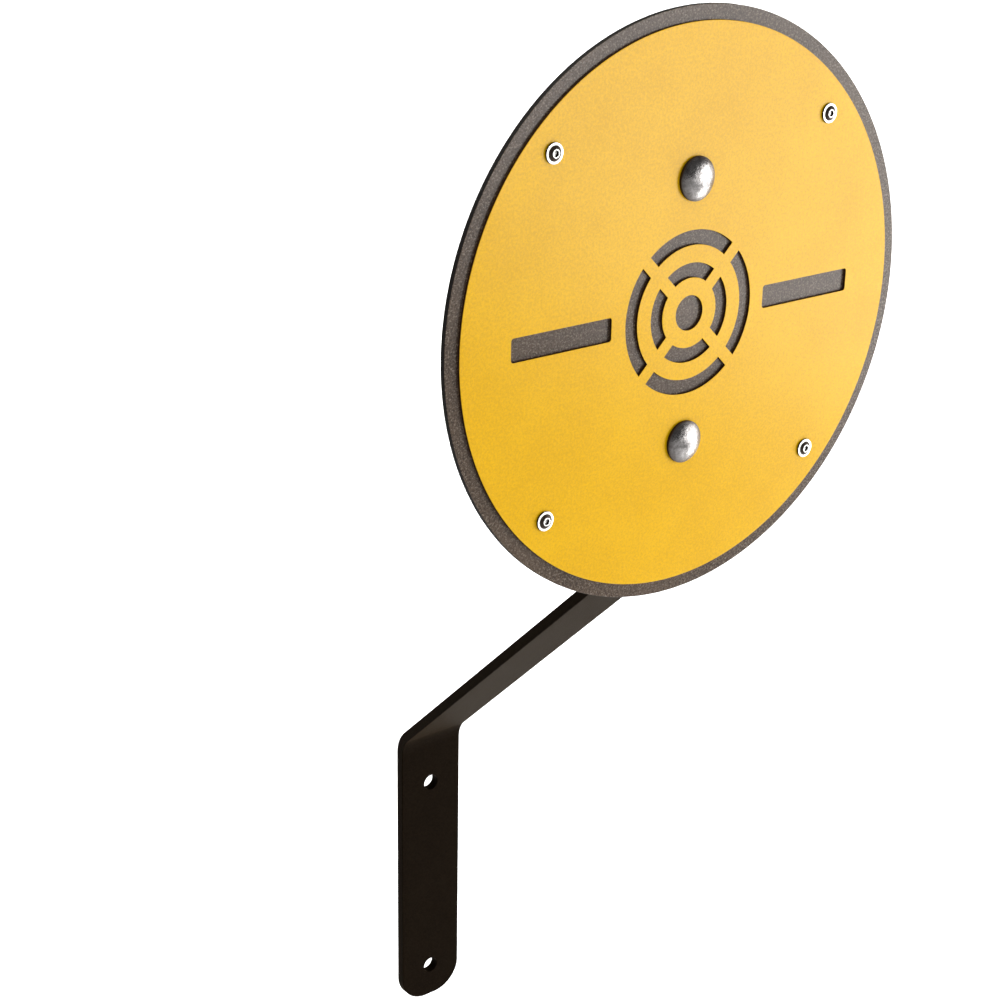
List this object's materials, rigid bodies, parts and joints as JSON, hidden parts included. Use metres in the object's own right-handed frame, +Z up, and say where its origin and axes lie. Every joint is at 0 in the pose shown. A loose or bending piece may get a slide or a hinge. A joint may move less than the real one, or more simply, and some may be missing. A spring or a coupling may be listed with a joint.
{
  "type": "wall-mounted target",
  "caption": "Round flat steel target plate on a cranked flat-bar arm, which bolts to a wall or rig upright and holds the target off it.",
  "frame": {"origin": "midway between the two wall holes, on the face of the lower leg that lies against the wall", "axes": "+Z up along the lower leg, +Y into the wall, so that the target faces -Y, and +X across the bar"},
  "size_m": [0.3999, 0.3025, 0.9],
  "materials": {
    "face_coat": "fine-textured matt powder coat, warm yellow",
    "disc_coat": "fine-textured powder coat, warm grey with a slight metallic grain",
    "arm_coat": "fine-textured powder coat, dark brown-black",
    "zinc": "bright zinc plate, lightly scuffed",
    "nylon": "natural nylon"
  },
  "bodies": {
    "root": {"crank_arm": "arm_coat", "backing_disc": "disc_coat", "face_plate": "face_coat", "cup_bolt_upper": "zinc", "cup_washer_upper": "zinc", "cup_nut_upper": "zinc", "cup_nut_ring_upper": "nylon", "cup_bolt_lower": "zinc", "cup_washer_lower": "zinc", "cup_nut_lower": "zinc", "cup_nut_ring_lower": "nylon", "plate_screw_upper_left": "zinc", "plate_washer_upper_left": "zinc", "plate_nut_upper_left": "zinc", "plate_nut_ring_upper_left": "nylon", "plate_screw_upper_right": "zinc", "plate_washer_upper_right": "zinc", "plate_nut_upper_right": "zinc", "plate_nut_ring_upper_right": "nylon", "plate_screw_lower_left": "zinc", "plate_washer_lower_left": "zinc", "plate_nut_lower_left": "zinc", "plate_nut_ring_lower_left": "nylon", "plate_screw_lower_right": "zinc", "plate_washer_lower_right": "zinc", "plate_nut_lower_right": "zinc", "plate_nut_ring_lower_right": "nylon"}
  },
  "joints": []
}
